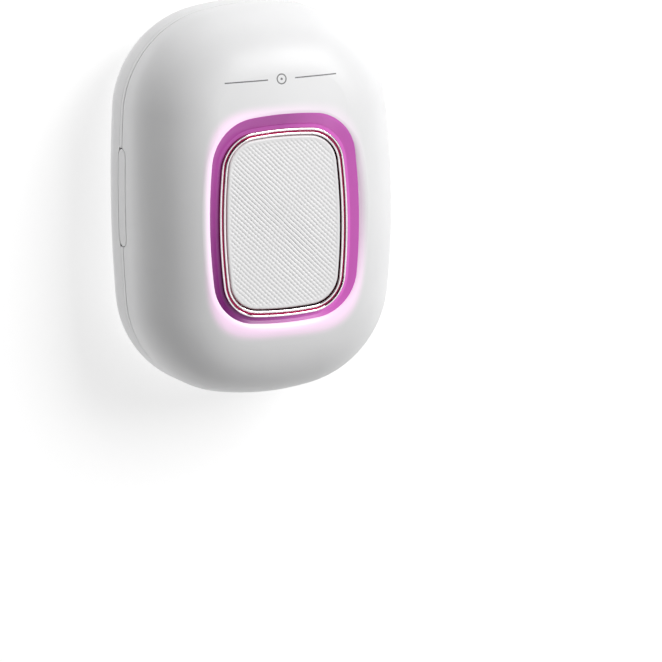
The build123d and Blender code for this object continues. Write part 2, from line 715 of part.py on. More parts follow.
switch_z = (LOCK_Z - SWITCH_LONG, LOCK_Z + SWITCH_LONG - LOCK_HALF)
plunger_hole = disc(PLUNGER + PLUNGER_SLIP, LOCK_X, LOCK_Z)
with BuildPart() as interlock_switch:
    add(block(SWITCH_X, (SWITCH_TOP - SWITCH_LONG, SWITCH_TOP), switch_z))
    add(prism(plunger_hole, SWITCH_TOP - PLUNGER_BORE, SWITCH_TOP + PAST), mode=Mode.SUBTRACT)
finish(interlock_switch.part, "interlock_switch")

with BuildPart() as switch_plunger:
    add(prism(disc(PLUNGER, LOCK_X, LOCK_Z), SWITCH_TOP - PLUNGER_IN, PLUNGER_TOP))
    fillet(switch_plunger.faces().sort_by(Axis.Y)[0].edges(), PLUNGER_ROUND)
finish(switch_plunger.part, "switch_plunger")

with BuildPart() as contact_collars:
    for z in CONTACT_SPOTS:
        add(prism(disc(COLLAR, CONTACT_X, z), COLLAR_FOOT, DOME_TOP - SLIP))
        add(prism(disc(CONTACT, CONTACT_X, z), COLLAR_FOOT, FRONT_DEPTH), mode=Mode.SUBTRACT)
finish(contact_collars.part, "contact_collars")

with BuildPart() as contact_pins:
    for z in CONTACT_SPOTS:
        add(prism(disc(CONTACT, CONTACT_X, z), CONTACT_FOOT, CONTACT_TOP))
    tips = contact_pins.faces().filter_by(Axis.Y).group_by(Axis.Y)[0]
    fillet(tips.edges(), CONTACT_ROUND)
finish(contact_pins.part, "contact_pins")

for base, name in ((MAGNET_BASE, "base_magnets"), (MAGNET_LID, "lid_magnets")):
    with BuildPart() as magnets:
        for z in (-MAGNET_Z, MAGNET_Z):
            add(prism(disc(MAGNET, MAGNET_X, z), base, base + MAGNET_THICK))
    finish(magnets.part, name)

# ---- hinge pin --------------------------------------------------------------------------------
finish(knuckles(PIN, [(-BARREL_HALF + PIN_END, BARREL_HALF - PIN_END)]), "hinge_pin")

# ---- release button ---------------------------------------------------------------------------
latch_z = (BUTTON_Z - LATCH_HALF, BUTTON_Z + LATCH_HALF)
guide_z = (BUTTON_Z - GUIDE_HALF, BUTTON_Z + GUIDE_HALF)
with BuildPart() as release_button:
    add(side_slot(BUTTON_LENGTH, BUTTON_THICK, (-WIDTH, BUTTON_BACK)))
    add(whole, mode=Mode.INTERSECT)
    # guide plate behind the wall, and the arm and hook that reach up beside the lid's catch
    add(block((BUTTON_BACK - GUIDE_THICK, BUTTON_BACK), GUIDE_SPAN, guide_z))
    add(block((BUTTON_BACK - 2 * SLIP, ARM_X), ARM_SPAN, latch_z))
    add(block((HOOK_X, ARM_X), HOOK_SPAN, latch_z))
finish(release_button.part, "release_button")

spring_long = SPRING_SEAT_X - BUTTON_BACK - 4 * SLIP
with BuildPart() as button_springs:
    for z in (BUTTON_Z - SPRING_Z, BUTTON_Z + SPRING_Z):
        foot = spot(BUTTON_BACK + 2 * SLIP, SPRING_DEPTH, z)
        with BuildLine() as coil:
            Helix(SPRING_PITCH, spring_long, SPRING_RADIUS, center=foot, direction=(1, 0, 0))
        with BuildSketch(Plane(coil.line @ 0, z_dir=coil.line % 0)):
            Circle(SPRING_WIRE)
        sweep(path=coil.line, is_frenet=True)
finish(button_springs.part, "button_springs")

# ---- lid: outer cover -------------------------------------------------------------------------
slope = 1 / math.tan(math.radians(RECESS_SLOPE))
thick = WALL / math.sin(math.radians(RECESS_SLOPE))
dish_foot = window_outline(-RECESS_FOOT)
dish_mouth = window_outline(-RECESS_FOOT - RECESS_REACH * slope)
dish = flare(dish_foot, RECESS_FLOOR, dish_mouth, RECESS_FLOOR + RECESS_REACH)

skin_in = -RECESS_FOOT - thick + WALL * slope
skin_mouth = window_outline(skin_in - (RECESS_REACH + WALL) * slope)
dish_skin = flare(
    window_outline(skin_in), RECESS_FLOOR - WALL, skin_mouth, RECESS_FLOOR + RECESS_REACH
)
with BuildPart() as cover_room:
    add(hollow)
    add(dish_skin, mode=Mode.SUBTRACT)


def on_lip(edge):
    """True for the edges where the dish breaks through the front."""
    middle = edge.center()
    inside = abs(middle.X) < HINGE_X - RECESS_LIP * 3 and abs(middle.Z) < HEIGHT / 3
    return inside and middle.Y < -RECESS_FLOOR - RECESS_LIP / 5 and edge.geom_type == GeomType.BSPLINE


# the lid's front with its dish, shared by the cover and the light ring let into it
with BuildPart() as face:
    add(before(whole, LID_RIM))
    add(dish, mode=Mode.SUBTRACT)
    fillet(face.edges().filter_by(on_lip), RECESS_LIP)

with BuildPart() as front_cover:
    add(face.part)
    add(cover_room.part, mode=Mode.SUBTRACT)
    ring_seat = prism(ring_outline(-RING_SLIP), RECESS_FLOOR - 2 * WALL, FRONT_DEPTH)
    add(ring_seat, mode=Mode.SUBTRACT)
    add(knuckles(POCKET, BASE_POCKETS), mode=Mode.SUBTRACT)
    add(knuckles(BARREL, LID_SPAN))
    add(knuckles(PIN + PIN_SLIP, WHOLE_SPAN), mode=Mode.SUBTRACT)
    add(brush_way, mode=Mode.SUBTRACT)
    add(button_slot, mode=Mode.SUBTRACT)
    # catch that the button's hook holds
    add(block((-HINGE_X + WALL / 2, CATCH_X), CATCH_SPAN, latch_z))
finish(front_cover.part, "front_cover")

# ---- lid: inner lining ------------------------------------------------------------------------
liner_back = LINER_ROOF + LINER_WALL
with BuildPart() as bowl:
    add(prism(case_outline(LINER_INSET + LINER_WALL), LINER_RIM - PAST, LINER_ROOF))
    fillet(bowl.faces().sort_by(Axis.Y)[0].edges(), LINER_ROUND)

lens_inner = (LENS_WIDTH - 2 * LENS_LEDGE, LENS_HEIGHT - 2 * LENS_LEDGE)
lens_hole = panel(*lens_inner, LENS_CORNER - LENS_LEDGE, 0, LENS_Z)
lens_seat = panel(LENS_WIDTH, LENS_HEIGHT, LENS_CORNER, 0, LENS_Z)
with BuildPart() as lid_liner:
    add(prism(case_outline(LINER_INSET), LINER_RIM, liner_back))
    fillet(lid_liner.faces().sort_by(Axis.Y)[0].edges(), LINER_ROUND + LINER_WALL)
    add(bowl.part, mode=Mode.SUBTRACT)
    # prong that works the interlock
    prong_z = (LOCK_Z - PRONG_HALF, LOCK_Z + PRONG_HALF)
    add(block(PRONG, (PRONG_TIP, LINER_ROOF + LINER_WALL / 3), prong_z))
    # lens opening with its rebate
    add(prism(lens_hole, LINER_ROOF - PAST, FRONT_DEPTH), mode=Mode.SUBTRACT)
    add(prism(lens_seat, LINER_ROOF + LENS_STEP, FRONT_DEPTH), mode=Mode.SUBTRACT)
    for z in CONTACT_SPOTS:
        add(prism(disc(COLLAR, CONTACT_X, z), LINER_ROOF - PAST, FRONT_DEPTH), mode=Mode.SUBTRACT)
    add(upright(BRUSH_HOLE, 0, BRUSH_DEPTH, (-HEIGHT, CHAMBER_BOTTOM)), mode=Mode.SUBTRACT)
    # room for the hinge and for the button's arm
    hinge_end = BARREL_HALF + 4 * SLIP
    add(knuckles(POCKET + SLIP, [(-hinge_end, hinge_end)]), mode=Mode.SUBTRACT)
    add(block((-WIDTH, NOTCH_X), (0, NOTCH_TOP), notch_z), mode=Mode.SUBTRACT)
finish(lid_liner.part, "lid_liner")

with BuildPart() as contact_pads:
    for z in CONTACT_SPOTS:
        add(prism(disc(COLLAR, CONTACT_X, z), PAD_FACE, liner_back))
finish(contact_pads.part, "contact_pads")

# ---- lid: lamp --------------------------------------------------------------------------------
ribs = int((LENS_HEIGHT - 2 * LENS_MARGIN) / RIB_PITCH)
rib_half = LENS_WIDTH / 2 - LENS_MARGIN
with BuildPart() as lamp_lens:
    add(prism(lens_seat, LINER_ROOF + LENS_STEP, liner_back))
    add(prism(lens_hole, LINER_ROOF - 2 * SLIP, LINER_ROOF + LENS_STEP + SLIP))
    for i in range(ribs):
        z = LENS_Z + RIB_PITCH * (i - (ribs - 1) / 2)
        cut = block(
            (-rib_half, rib_half), (LINER_ROOF - PAST, LINER_ROOF + RIB_DEEP), (z, z + RIB_PITCH / 2)
        )
        add(cut, mode=Mode.SUBTRACT)
finish(lamp_lens.part, "lamp_lens")

lamp_room = (LAMP_SPAN[0] + REFLECTOR_WALL, LAMP_SPAN[1] - REFLECTOR_WALL)
crease_y = -REFLECTOR_BACK + REFLECTOR_WALL
mouth_y = -REFLECTOR_BACK + REFLECTOR_TALL + SLIP
mouth_x = REFLECTOR_HALF - REFLECTOR_WALL
with BuildPart() as lamp_reflector:
    trough = (REFLECTOR_BACK - REFLECTOR_TALL, REFLECTOR_BACK)
    add(block((-REFLECTOR_HALF, REFLECTOR_HALF), trough, LAMP_SPAN))
    with BuildSketch(Plane.XY.offset(lamp_room[0])):
        with BuildLine():
            Polyline(
                (-mouth_x, mouth_y),
                (-REFLECTOR_CREASE, crease_y),
                (REFLECTOR_CREASE, crease_y),
                (mouth_x, mouth_y),
                close=True,
            )
        make_face()
    extrude(amount=lamp_room[1] - lamp_room[0], mode=Mode.SUBTRACT)
finish(lamp_reflector.part, "lamp_reflector")

tube_span = (lamp_room[0] + CAP_LONG, lamp_room[1] - CAP_LONG)
finish(upright(LAMP, 0, LAMP_DEPTH, tube_span), "uv_lamp_tube")

with BuildPart() as lamp_caps:
    for end in (lamp_room[0], tube_span[1]):
        add(upright(LAMP + CAP_PROUD, 0, LAMP_DEPTH, (end, end + CAP_LONG)))
finish(lamp_caps.part, "lamp_caps")

# ---- lid: light ring, trim and front plate ----------------------------------------------------
board_top = BOARD_DEPTH + BOARD_THICK
with BuildPart() as led_board:
    add(prism(window_outline(-BOARD_OUT), BOARD_DEPTH, board_top))
    add(prism(window_outline(BOARD_IN), BOARD_DEPTH - PAST, board_top + PAST), mode=Mode.SUBTRACT)
finish(led_board.part, "led_board")


def led(x, z):
    """One light chip on the board, placed from the window's middle."""
    height = WINDOW_Z + z
    x_span = (x - LED_HALF, x + LED_HALF)
    return block(x_span, (board_top, board_top + LED_THICK), (height - LED_HALF, height + LED_HALF))


with BuildPart() as ring_leds:
    for sign in (-1, 1):
        for z in LED_SIDES[1]:
            add(led(sign * LED_SIDES[0], z))
        for x in LED_ENDS[1]:
            add(led(x, sign * LED_ENDS[0]))
finish(ring_leds.part, "ring_leds")

with BuildPart() as light_ring:
    add(prism(ring_outline(), RING_BACK, FRONT_DEPTH))
    add(face.part, mode=Mode.INTERSECT)
    add(prism(window_outline(0.0), 0, FRONT_DEPTH), mode=Mode.SUBTRACT)
finish(light_ring.part, "light_ring")

skirt_inset = BEZEL_WIDTH - BEZEL_LEDGE
bead_gap = (BEZEL_TOP - GROOVE_DEEP, FRONT_DEPTH)
with BuildPart() as bezel_groove:
    add(prism(window_outline(BEZEL_GROOVE[0]), *bead_gap))
    add(prism(window_outline(BEZEL_GROOVE[1]), *bead_gap), mode=Mode.SUBTRACT)
with BuildPart() as trim_ring:
    add(prism(window_outline(BEZEL_SLIP), RING_BACK, BEZEL_TOP))
    add(prism(window_outline(BEZEL_WIDTH), RING_BACK - PAST, FRONT_DEPTH), mode=Mode.SUBTRACT)
    add(prism(window_outline(skirt_inset), RING_BACK - PAST, STEP_DEPTH), mode=Mode.SUBTRACT)
    add(bezel_groove.part, mode=Mode.SUBTRACT)
    fillet(trim_ring.faces().filter_by(Axis.Y).group_by(Axis.Y)[0].edges(), BEAD_ROUND)
finish(trim_ring.part, "trim_ring")

with BuildPart() as front_plate:
    add(prism(window_outline(BEZEL_WIDTH + PLATE_GAP), PLATE_BACK, PLATE_TOP))
    fillet(front_plate.faces().sort_by(Axis.Y)[0].edges(), PLATE_ROUND)
    skirt_top = STEP_DEPTH - PLATE_GAP / 5
    add(prism(window_outline(skirt_inset + PLATE_GAP), PLATE_BACK, skirt_top))
finish(front_plate.part, "front_plate")

with BuildPart() as plate_springs:
    for x in (-PLATE_SPRING_X, PLATE_SPRING_X):
        for z in (WINDOW_Z - PLATE_SPRING_Z, WINDOW_Z + PLATE_SPRING_Z):
            spring_top = PLATE_BACK - PLATE_TRAVEL - SLIP
            add(prism(disc(PLATE_SPRING, x, z), board_top, spring_top))
finish(plate_springs.part, "plate_springs")

tact_top = board_top + TACT_THICK
with BuildPart() as tact_switch:
    tact_z = (TACT_Z - TACT_HALF, TACT_Z + TACT_HALF)
    add(block((-TACT_HALF, TACT_HALF), (board_top, tact_top), tact_z))
    add(prism(disc(TACT_BUTTON, 0, TACT_Z), tact_top, PLATE_BACK - PLATE_TRAVEL - 2 * SLIP))
finish(tact_switch.part, "tact_switch")
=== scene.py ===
import json
import math

import bmesh
import bpy
from mathutils import Matrix, Vector


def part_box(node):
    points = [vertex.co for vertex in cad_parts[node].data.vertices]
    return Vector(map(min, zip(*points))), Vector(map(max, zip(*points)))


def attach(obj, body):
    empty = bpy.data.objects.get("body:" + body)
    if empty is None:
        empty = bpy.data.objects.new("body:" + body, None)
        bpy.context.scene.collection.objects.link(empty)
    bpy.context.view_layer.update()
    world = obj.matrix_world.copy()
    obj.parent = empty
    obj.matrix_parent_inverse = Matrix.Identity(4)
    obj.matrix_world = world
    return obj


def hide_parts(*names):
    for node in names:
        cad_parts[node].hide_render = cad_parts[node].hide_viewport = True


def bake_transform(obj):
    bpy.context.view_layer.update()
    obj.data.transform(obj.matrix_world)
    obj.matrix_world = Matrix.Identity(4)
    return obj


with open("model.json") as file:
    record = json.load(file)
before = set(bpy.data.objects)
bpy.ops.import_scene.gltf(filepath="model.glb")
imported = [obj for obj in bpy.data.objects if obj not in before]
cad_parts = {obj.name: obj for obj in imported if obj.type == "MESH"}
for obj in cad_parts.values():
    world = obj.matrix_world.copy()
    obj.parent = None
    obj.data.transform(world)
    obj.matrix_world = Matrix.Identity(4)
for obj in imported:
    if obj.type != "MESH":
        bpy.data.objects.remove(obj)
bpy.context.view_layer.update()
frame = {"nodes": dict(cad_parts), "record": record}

NODES = frame["nodes"]

# ---- camera: azimuth 0 looks along +Y ----------------------------------------------------------
CAMERA_AZIMUTH = math.radians(-22.93)
CAMERA_ELEVATION = math.radians(10.62)
CAMERA_DISTANCE = 2.600
CAMERA_ROLL = math.radians(-0.93)
CAMERA_LENS = 514.7
SENSOR_WIDTH = 36.0
CAMERA_LOOKS_AT = (0, -0.022, 0)
CAMERA_AIM = (0.007988, -0.014067)  # tangents by which the view is turned right and up of the case's middle


# ---- node helpers ------------------------------------------------------------------------------
class Shader:
    """A material built up node by node, with its Principled shader at hand."""

    def __init__(self, name, colour, roughness, metallic=0.0, **sockets):
        self.material = bpy.data.materials.new(name)
        self.material.use_nodes = True
        self.tree = self.material.node_tree
        self.bsdf = self.tree.nodes["Principled BSDF"]
        self.coords = self.tree.nodes.new("ShaderNodeTexCoord")
        self.set("Base Color", (*colour, 1.0))
        self.set("Roughness", roughness)
        self.set("Metallic", metallic)
        for socket, value in sockets.items():
            self.set(socket.replace("_", " "), value)

    def set(self, socket, value):
        self.bsdf.inputs[socket].default_value = value

    def node(self, kind, **values):
        made = self.tree.nodes.new(kind)
        for key, value in values.items():
            if hasattr(made, key):
                setattr(made, key, value)
            else:
                made.inputs[key.replace("_", " ")].default_value = value
        return made

    def link(self, out, into):
        self.tree.links.new(out, into)

    def noise(self, scale, detail=3.0):
        made = self.node("ShaderNodeTexNoise", Scale=scale, Detail=detail)
        self.link(self.coords.outputs["Object"], made.inputs["Vector"])
        return made.outputs["Fac"]

    def ramp(self, value, low, high, start=0.35, end=0.65):
        """The colour between two as a value runs from start to end."""
        made = self.node("ShaderNodeValToRGB")
        made.color_ramp.elements[0].position = start
        made.color_ramp.elements[0].color = (*low, 1.0)
        made.color_ramp.elements[1].position = end
        made.color_ramp.elements[1].color = (*high, 1.0)
        self.link(value, made.inputs["Fac"])
        return made.outputs["Color"]

    def mottle(self, colour, spread, scale):
        """Small drifts of the base colour over the surface."""
        low = tuple(max(0.0, c * (1 - spread)) for c in colour)
        high = tuple(min(1.0, c * (1 + spread)) for c in colour)
        self.link(self.ramp(self.noise(scale), low, high), self.bsdf.inputs["Base Color"])

    def wear(self, roughness, spread, scale):
        """Polished and dulled patches."""
        made = self.node("ShaderNodeMapRange", To_Min=roughness - spread, To_Max=roughness + spread)
        self.link(self.noise(scale), made.inputs["Value"])
        self.link(made.outputs["Result"], self.bsdf.inputs["Roughness"])

    def bump(self, height, distance, strength=1.0):
        made = self.node("ShaderNodeBump", Strength=strength, Distance=distance)
        self.link(height, made.inputs["Height"])
        self.link(made.outputs["Normal"], self.bsdf.inputs["Normal"])
        return made


def place_value(shader, axis, low, high, out_low=0.0, out_high=1.0):
    """A value that runs between two places along one axis of the row."""
    split = shader.node("ShaderNodeSeparateXYZ")
    shader.link(shader.coords.outputs["Object"], split.inputs[0])
    made = shader.node("ShaderNodeMapRange", clamp=True)
    made.inputs["From Min"].default_value = low
    made.inputs["From Max"].default_value = high
    made.inputs["To Min"].default_value = out_low
    made.inputs["To Max"].default_value = out_high
    shader.link(split.outputs[axis], made.inputs["Value"])
    return made.outputs["Result"]


def maths(shader, operation, first, second):
    """The result of one arithmetic node on two numbers or sockets."""
    made = shader.node("ShaderNodeMath", operation=operation)
    for socket, value in zip(made.inputs, (first, second)):
        if isinstance(value, (int, float)):
            socket.default_value = value
        else:
            shader.link(value, socket)
    return made.outputs[0]


def squared(shader, value):
    return maths(shader, "MULTIPLY", value, value)


# how much a surface drifts, and how finely
PLASTIC_MOTTLE = (0.012, 60.0)
PLASTIC_WEAR = (0.05, 90.0)
PLASTIC_GRAIN = 2200.0
PLASTIC_GRAIN_DEPTH = 0.00001
METAL_SPREAD = 0.06
METAL_SCALE = 500.0


def plastic(name, colour, roughness, grain=PLASTIC_GRAIN, depth=PLASTIC_GRAIN_DEPTH, **sockets):
    """Moulded plastic with a fine skin grain."""
    made = Shader(name, colour, roughness, **sockets)
    made.mottle(colour, *PLASTIC_MOTTLE)
    made.wear(roughness, *PLASTIC_WEAR)
    made.bump(made.noise(grain, 2.0), depth, 0.5)
    return made


def metal(name, colour, roughness, scale=METAL_SCALE, **sockets):
    """Metal with small drifts of colour and polish."""
    made = Shader(name, colour, roughness, 1.0, **sockets)
    made.mottle(colour, METAL_SPREAD, scale)
    made.wear(roughness, METAL_SPREAD, scale)
    return made


WHITE = (0.80, 0.80, 0.805)

# light ring: painted shade where it is deepest, low and to the left, turning to painted light high and to
# the right
GLOW_ACROSS = (-0.019, 0.017)  # X where the painted shade is deepest and where the painted light is brightest
GLOW_UP = (-0.030, 0.024)  # Z likewise
GLOW_TOP_SHARE = 0.55  # how near the top's painted light comes to the right flank's brightness
# shaded and lit colours of the diffuser, surface then emission: painted shade to painted light
GLOW_SURFACE = ((0.10, 0.006, 0.09), (0.46, 0.10, 0.38))
GLOW_LIGHT = ((0.07, 0.003, 0.065), (0.50, 0.10, 0.42))
GLOW_RAMP = (0.05, 0.95)
GLOW_SPECKLE = 0.06
GLOW_SPECKLE_SCALE = 700.0
GLOW_STRENGTH = 0.55

# the ring's light painted on the cover as emission: a painted spill of light
HALO = (0.62, 0.22, 0.54)
HALO_SQUARENESS = 4.0
HALO_DROP = 0.0008  # the painted spill hangs a little lower than the ring
HALO_END = 1.13  # where it has faded out, as a share of the ring's reach
HALO_FADE = 1.3
HALO_DOWN = (0.018, -0.026)  # Z where it is weakest and where it is strongest
HALO_LEFT = (0.012, -0.016)  # X likewise
HALO_LEAST = 0.30
HALO_STRENGTH = 0.62

# printed mark
MARK_Z = 0.0362
MARK_RING = 0.0013
MARK_STROKE = 0.00017
MARK_START = 0.0040
MARK_END = 0.0165
MARK_INK = (0.13, 0.13, 0.135)

# bezel
BEAD = (0.92, 0.88, 0.90)
# painted reflection of the glow, darkened as painted shade in the groove
GROOVE_PAINTED_REFLECTION = (0.30, 0.015, 0.07)
GROOVE_DEPTHS = (-0.04182, -0.04164)  # Y where the bead's colour starts to turn to the painted reflection and shade, and has turned
GROOVE_RAMP = (0.1, 0.9)
TRIM_ROUGHNESS = 0.12
TRIM_DRIFT = 0.08
TRIM_DRIFT_SCALE = 400.0
TRIM_WEAR_SCALE = 600.0

white_shell = plastic("white_shell", WHITE, 0.40)
white_liner = plastic("white_liner", WHITE, 0.36)
grip = plastic("grip", (0.82, 0.82, 0.82), 0.55)
foam = plastic("foam", (0.03, 0.03, 0.032), 0.9, 900.0, 0.0003)
steel = metal("steel", (0.55, 0.55, 0.56), 0.32)
chrome = metal("chrome", (0.86, 0.84, 0.85), 0.07)
plate = plastic("plate", (0.86, 0.855, 0.86), 0.42)
panel_grey = plastic("panel_grey", (0.27, 0.27, 0.275), 0.5)
black = plastic("black", (0.012, 0.012, 0.014), 0.45)
copper = metal("copper", (0.85, 0.43, 0.22), 0.3)
board = plastic("board", (0.01, 0.10, 0.04), 0.35)
led = plastic("led", (0.9, 0.35, 0.8), 0.2)
cell = plastic("cell", (0.02, 0.1, 0.25), 0.3)
magnet = metal("magnet", (0.5, 0.5, 0.52), 0.2)
gasket = plastic("gasket", (0.42, 0.42, 0.43), 0.7)
mirror = metal("mirror", (0.8, 0.8, 0.82), 0.12)
lens = Shader("lens", (0.85, 0.87, 0.9), 0.08, Transmission_Weight=0.85, IOR=1.46)
tube = Shader("tube", (0.9, 0.92, 1.0), 0.05, Transmission_Weight=0.6, IOR=1.46)


def glow_shader():
    """The lit diffuser, with painted shade and painted light: deep purple on its left flank, orchid on its
    top and right.
    """
    made = Shader("glow", (0.6, 0.1, 0.5), 0.3)
    across = place_value(made, "X", *GLOW_ACROSS)
    above = place_value(made, "Z", *GLOW_UP, 0.0, GLOW_TOP_SHARE)
    # painted light and shade by place: low at left and bottom, high at top and right
    lit = maths(made, "MAXIMUM", across, above)
    speckle = maths(made, "MULTIPLY", made.noise(GLOW_SPECKLE_SCALE), GLOW_SPECKLE)
    lit = maths(made, "ADD", lit, speckle)
    surface = made.ramp(lit, *GLOW_SURFACE, *GLOW_RAMP)
    light = made.ramp(lit, *GLOW_LIGHT, *GLOW_RAMP)
    made.link(surface, made.bsdf.inputs["Base Color"])
    made.link(light, made.bsdf.inputs["Emission Color"])
    made.set("Emission Strength", GLOW_STRENGTH)
    return made


def cover_shader():
    """White cover, with the glow's light painted on as emission, a painted spill fading out over the lip
    round the light ring.
    """
    made = plastic("cover", WHITE, 0.40)
    split = made.node("ShaderNodeSeparateXYZ")
    made.link(made.coords.outputs["Object"], split.inputs[0])
    ring_low, ring_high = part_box("light_ring")
    middle = (ring_low + ring_high) / 2
    half = (ring_high - ring_low) / 2
    terms = []
    tall = half.z + HALO_DROP
    for axis, centre, reach in (("X", middle.x, half.x), ("Z", middle.z - HALO_DROP, tall)):
        away = maths(made, "ABSOLUTE", maths(made, "SUBTRACT", split.outputs[axis], centre), 0.0)
        terms.append(maths(made, "POWER", maths(made, "DIVIDE", away, reach), HALO_SQUARENESS))
    round_ring = maths(made, "POWER", maths(made, "ADD", terms[0], terms[1]), 1 / HALO_SQUARENESS)
    spill = made.node("ShaderNodeMapRange", interpolation_type="SMOOTHSTEP")
    for socket, value in (("From Min", 1.0), ("From Max", HALO_END), ("To Min", 1.0), ("To Max", 0.0)):
        spill.inputs[socket].default_value = value
    made.link(round_ring, spill.inputs["Value"])
    fade = made.node("ShaderNodeMath", operation="POWER")
    fade.inputs[1].default_value = HALO_FADE
    made.link(spill.outputs["Result"], fade.inputs[0])
    # painted light, strongest below and to the left of the ring
    lower = place_value(made, "Z", *HALO_DOWN, HALO_LEAST, 1.0)
    lefter = place_value(made, "X", *HALO_LEFT, HALO_LEAST, 1.0)
    spread = maths(made, "MULTIPLY", fade.outputs[0], maths(made, "MAXIMUM", lower, lefter))
    # painted light from the ring, laid on the cover as emission
    made.link(made.ramp(spread, (0, 0, 0), HALO, 0.0, 1.0), made.bsdf.inputs["Emission Color"])
    made.set("Emission Strength", HALO_STRENGTH)
    printed_mark(made, split)
    return made


def printed_mark(made, split):
    """A plain grey mark on the upper front: a ring with a dot, between two thin lines."""
    across = maths(made, "ABSOLUTE", split.outputs["X"], 0.0)
    above = maths(made, "ABSOLUTE", maths(made, "SUBTRACT", split.outputs["Z"], MARK_Z), 0.0)
    away = maths(made, "SQRT", maths(made, "ADD", squared(made, across), squared(made, above)), 0.0)
    off_ring = maths(made, "ABSOLUTE", maths(made, "SUBTRACT", away, MARK_RING), 0.0)
    on_ring = maths(made, "LESS_THAN", off_ring, MARK_STROKE)
    on_dot = maths(made, "LESS_THAN", away, MARK_STROKE * 2)
    line_middle = (MARK_START + MARK_END) / 2
    off_line = maths(made, "ABSOLUTE", maths(made, "SUBTRACT", across, line_middle), 0.0)
    along = maths(made, "LESS_THAN", off_line, (MARK_END - MARK_START) / 2)
    on_line = maths(made, "MULTIPLY", along, maths(made, "LESS_THAN", above, MARK_STROKE))
    ink = maths(made, "MAXIMUM", maths(made, "MAXIMUM", on_ring, on_dot), on_line)
    under = made.bsdf.inputs["Base Color"].links[0].from_socket
    mix = made.node("ShaderNodeMix", data_type="RGBA")
    mix.inputs[7].default_value = (*MARK_INK, 1.0)
    made.link(ink, mix.inputs[0])
    made.link(under, mix.inputs[6])
    made.link(mix.outputs[2], made.bsdf.inputs["Base Color"])


def trim_shader():
    """Polished beads over a groove, and flanks with a painted reflection of the glow's dark red and painted
    shade.
    """
    made = Shader("trim", BEAD, TRIM_ROUGHNESS, 1.0)
    depth = place_value(made, "Y", *GROOVE_DEPTHS)
    drift = maths(made, "MULTIPLY", made.noise(TRIM_DRIFT_SCALE), TRIM_DRIFT)
    # painted reflection and shade: the bead's colour turns to the glow's dark red deeper in
    shade = made.ramp(maths(made, "ADD", depth, drift), BEAD, GROOVE_PAINTED_REFLECTION, *GROOVE_RAMP)
    made.link(shade, made.bsdf.inputs["Base Color"])
    made.wear(TRIM_ROUGHNESS, TRIM_ROUGHNESS / 3, TRIM_WEAR_SCALE)
    return made


glow = glow_shader()
cover = cover_shader()
trim = trim_shader()

SLOT_SHADERS = {
    "white_shell": white_shell, "white_liner": white_liner, "grip": grip, "foam": foam, "steel": steel,
    "chrome": chrome, "plate": plate, "glow": glow, "panel_grey": panel_grey, "black": black,
    "copper": copper, "board": board, "led": led, "cell": cell, "lens": lens, "tube": tube,
    "mirror": mirror, "magnet": magnet, "gasket": gasket,
}
for sub in frame["record"]["subparts"]:
    obj = NODES[sub["node"]]
    obj.data.materials.clear()
    obj.data.materials.append(SLOT_SHADERS[sub["material_slot"]].material)

NODES["front_cover"].data.materials[0] = cover.material
NODES["trim_ring"].data.materials[0] = trim.material


# ---- front plate: a padded, cross-grained panel -------------------------------------------------
def ring_mesh(name, rings, shader, loop=False):
    """A skin through rings of points; the first and last are closed, or joined to each other."""
    mesh = bpy.data.meshes.new(name)
    count = len(rings[0])
    verts = [point for ring in rings for point in ring]
    faces = []
    last = len(rings) if loop else len(rings) - 1
    for k in range(last):
        here, there = k * count, ((k + 1) % len(rings)) * count
        for i in range(count):
            j = (i + 1) % count
            faces.append((here + i, here + j, there + j, there + i))
    if not loop:
        faces.append(tuple(range(count))[::-1])
        faces.append(tuple(range((len(rings) - 1) * count, len(rings) * count)))
    mesh.from_pydata(verts, [], faces)
    mesh.update()
    mesh.shade_smooth()
    made = bpy.data.objects.new(name, mesh)
    bpy.context.collection.objects.link(made)
    bm = bmesh.new()
    bm.from_mesh(mesh)
    bmesh.ops.recalc_face_normals(bm, faces=bm.faces)
    bm.to_mesh(mesh)
    bm.free()
    mesh.materials.append(shader.material)
    return made


def soft_rectangle(width, height, side_arc, end_arc, corner_arc, inset, count):
    """Points round a rectangle of eight tangent arcs, evenly spaced by the arc they lie on."""
    side_x = width / 2 - side_arc
    end_z = height / 2 - end_arc
    reach_side = side_arc - corner_arc
    reach_end = end_arc - corner_arc
    between = math.hypot(side_x, end_z)
    along = (reach_side**2 - reach_end**2 + between**2) / (2 * between)
    across = math.sqrt(reach_side**2 - along**2)
    unit_x, unit_z = -side_x / between, end_z / between
    corner_x = side_x + along * unit_x - across * unit_z
    corner_z = along * unit_z + across * unit_x
    if corner_x < 0 or corner_z < 0:
        corner_x = side_x + along * unit_x + across * unit_z
        corner_z = along * unit_z - across * unit_x
    side_angle = math.atan2(corner_z, corner_x - side_x)
    end_angle = math.atan2(corner_x, corner_z - end_z)
    arcs = (
        (side_x, 0, side_arc, -side_angle, side_angle),
        (corner_x, corner_z, corner_arc, side_angle, math.pi / 2 - end_angle),
        (0, end_z, end_arc, math.pi / 2 - end_angle, math.pi / 2 + end_angle),
        (-corner_x, corner_z, corner_arc, math.pi / 2 + end_angle, math.pi - side_angle),
    )
    lengths = [(radius - inset) * (end - start) for _, _, radius, start, end in arcs]
    half = sum(lengths)
    points = []
    for i in range(count // 2):
        run = half * i / (count // 2)
        for (x, z, radius, start, end), length in zip(arcs, lengths):
            if run <= length:
                turn = start + (end - start) * run / length
                reach = radius - inset
                points.append((x + reach * math.cos(turn), z + reach * math.sin(turn)))
                break
            run -= length
    return points + [(-x, -z) for x, z in points]


plate_low, plate_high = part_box("front_plate")
trim_low, trim_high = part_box("trim_ring")
WINDOW_Z = (trim_low.z + trim_high.z) / 2
WINDOW = (0.0380, 0.0520, 0.150, 0.090, 0.0105)  # width, height, side arc, end arc, corner arc
PLATE_INSET = 0.00205
PLATE_EDGE = 0.0007
PLATE_SINK = 0.00012  # how far the face lies under the CAD plate's
PLATE_POINTS = 620
PLATE_RINGS = 120
EDGE_STEPS = 6
PLATE_LIP = 0.0003

